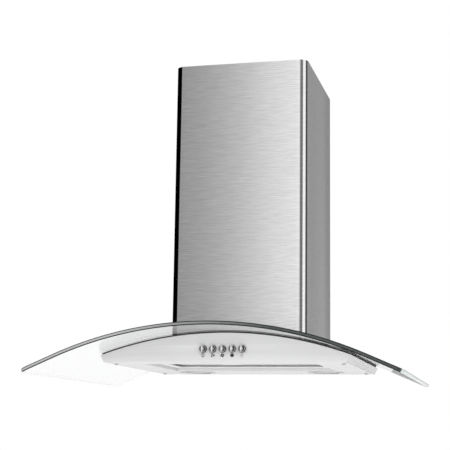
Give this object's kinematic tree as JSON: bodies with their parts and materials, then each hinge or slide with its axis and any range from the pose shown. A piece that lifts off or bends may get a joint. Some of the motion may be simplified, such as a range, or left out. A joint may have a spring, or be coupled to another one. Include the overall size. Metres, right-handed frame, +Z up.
{
  "type": "curved glass range hood",
  "caption": "Wall chimney hood: arched glass over a shallow steel body, push buttons, swing-down grease filter, blower in the chimney.",
  "frame": {"origin": "on the body's rear face against the wall, in the middle of its width, 30 mm above its underside", "axes": "+X to the right seen from the cook, +Y into the wall, +Z up"},
  "size_m": [0.6, 0.474, 0.5544],
  "materials": {
    "body_steel": "fine satin",
    "chimney_steel": "brushed across its width",
    "galvanised_steel": "galvanised",
    "motor_steel": "satin",
    "screw_chrome": "plated",
    "button_chrome": "polished",
    "lamp_chrome": "satin",
    "filter_aluminium": "matt",
    "canopy_glass": "clear, polished edge",
    "lamp_lens": "frosted",
    "black_rubber": "matt",
    "black_plastic": "moulded",
    "grey_plastic": "moulded"
  },
  "bodies": {
    "root": {"body_case": "body_steel", "front_fascia": "body_steel", "bottom_panel": "body_steel", "panel_screw_1": "screw_chrome", "panel_screw_2": "screw_chrome", "panel_screw_3": "screw_chrome", "panel_screw_4": "screw_chrome", "glass_canopy": "canopy_glass", "glass_seal": "black_rubber", "glass_grommet_1": "black_rubber", "glass_grommet_2": "black_rubber", "glass_grommet_3": "black_rubber", "glass_grommet_4": "black_rubber", "glass_screw_1": "screw_chrome", "glass_screw_2": "screw_chrome", "glass_screw_3": "screw_chrome", "glass_screw_4": "screw_chrome", "outer_chimney": "chimney_steel", "chimney_clip_left": "galvanised_steel", "chimney_clip_right": "galvanised_steel", "fan_box": "galvanised_steel", "box_screw_1": "screw_chrome", "box_screw_2": "screw_chrome", "box_screw_3": "screw_chrome", "box_screw_4": "screw_chrome", "blower_scroll": "grey_plastic", "motor": "motor_steel", "motor_bracket": "galvanised_steel", "bracket_screw_1": "screw_chrome", "bracket_screw_2": "screw_chrome", "bracket_screw_3": "screw_chrome", "outlet_collar": "black_plastic", "collar_screw_1": "screw_chrome", "collar_screw_2": "screw_chrome", "collar_screw_3": "screw_chrome", "collar_screw_4": "screw_chrome", "switch_block": "black_plastic", "lamp_housing_left": "lamp_chrome", "lamp_housing_right": "lamp_chrome", "lamp_lens_left": "lamp_lens", "lamp_lens_right": "lamp_lens", "lamp_driver": "black_plastic", "terminal_box": "grey_plastic", "cable_gland": "black_plastic", "capacitor": "filter_aluminium"},
    "rotor": {"impeller": "black_plastic", "impeller_nut": "screw_chrome", "motor_shaft": "screw_chrome"},
    "flap_rear": {"damper_flap_rear": "black_plastic"},
    "flap_front": {"damper_flap_front": "black_plastic"},
    "filter": {"filter_frame": "filter_aluminium", "filter_mesh": "filter_aluminium"},
    "latch": {"filter_latch": "filter_aluminium"},
    "telescope": {"inner_chimney": "chimney_steel", "ceiling_bracket": "galvanised_steel"},
    "button_off": {"button_1": "button_chrome"},
    "button_low": {"button_2": "button_chrome"},
    "button_medium": {"button_3": "button_chrome"},
    "button_high": {"button_4": "button_chrome"},
    "button_light": {"button_5": "button_chrome"}
  },
  "joints": [
    {"name": "press_off", "type": "slide", "parent": "root", "child": "button_off", "axis": [0, 1, 0], "range_m": [0, 0.003], "stiffness_N_per_m": 200},
    {"name": "press_low", "type": "slide", "parent": "root", "child": "button_low", "axis": [0, 1, 0], "range_m": [0, 0.003], "stiffness_N_per_m": 200},
    {"name": "press_medium", "type": "slide", "parent": "root", "child": "button_medium", "axis": [0, 1, 0], "range_m": [0, 0.003], "stiffness_N_per_m": 200},
    {"name": "press_high", "type": "slide", "parent": "root", "child": "button_high", "axis": [0, 1, 0], "range_m": [0, 0.003], "stiffness_N_per_m": 200},
    {"name": "press_light", "type": "slide", "parent": "root", "child": "button_light", "axis": [0, 1, 0], "range_m": [0, 0.003], "stiffness_N_per_m": 200},
    {"name": "impeller_spin", "type": "hinge", "parent": "root", "child": "rotor", "pos_m": [0, -0.109, 0.15], "axis": [1, 0, 0], "continuous": true},
    {"name": "flap_rear_hinge", "type": "hinge", "parent": "root", "child": "flap_rear", "pos_m": [0, -0.1528, 0.274], "axis": [1, 0, 0], "range_deg": [0, 80]},
    {"name": "flap_front_hinge", "type": "hinge", "parent": "root", "child": "flap_front", "pos_m": [0, -0.1592, 0.274], "axis": [-1, 0, 0], "range_deg": [0, 80]},
    {"name": "filter_hinge", "type": "hinge", "parent": "root", "child": "filter", "pos_m": [0, -0.119, -0.0225], "axis": [1, 0, 0], "range_deg": [0, 90]},
    {"name": "latch_slide", "type": "slide", "parent": "filter", "child": "latch", "axis": [0, 1, 0], "range_m": [0, 0.006], "stiffness_N_per_m": 300},
    {"name": "chimney_slide", "type": "slide", "parent": "root", "child": "telescope", "axis": [0, 0, 1], "range_m": [0, 0.33]}
  ]
}
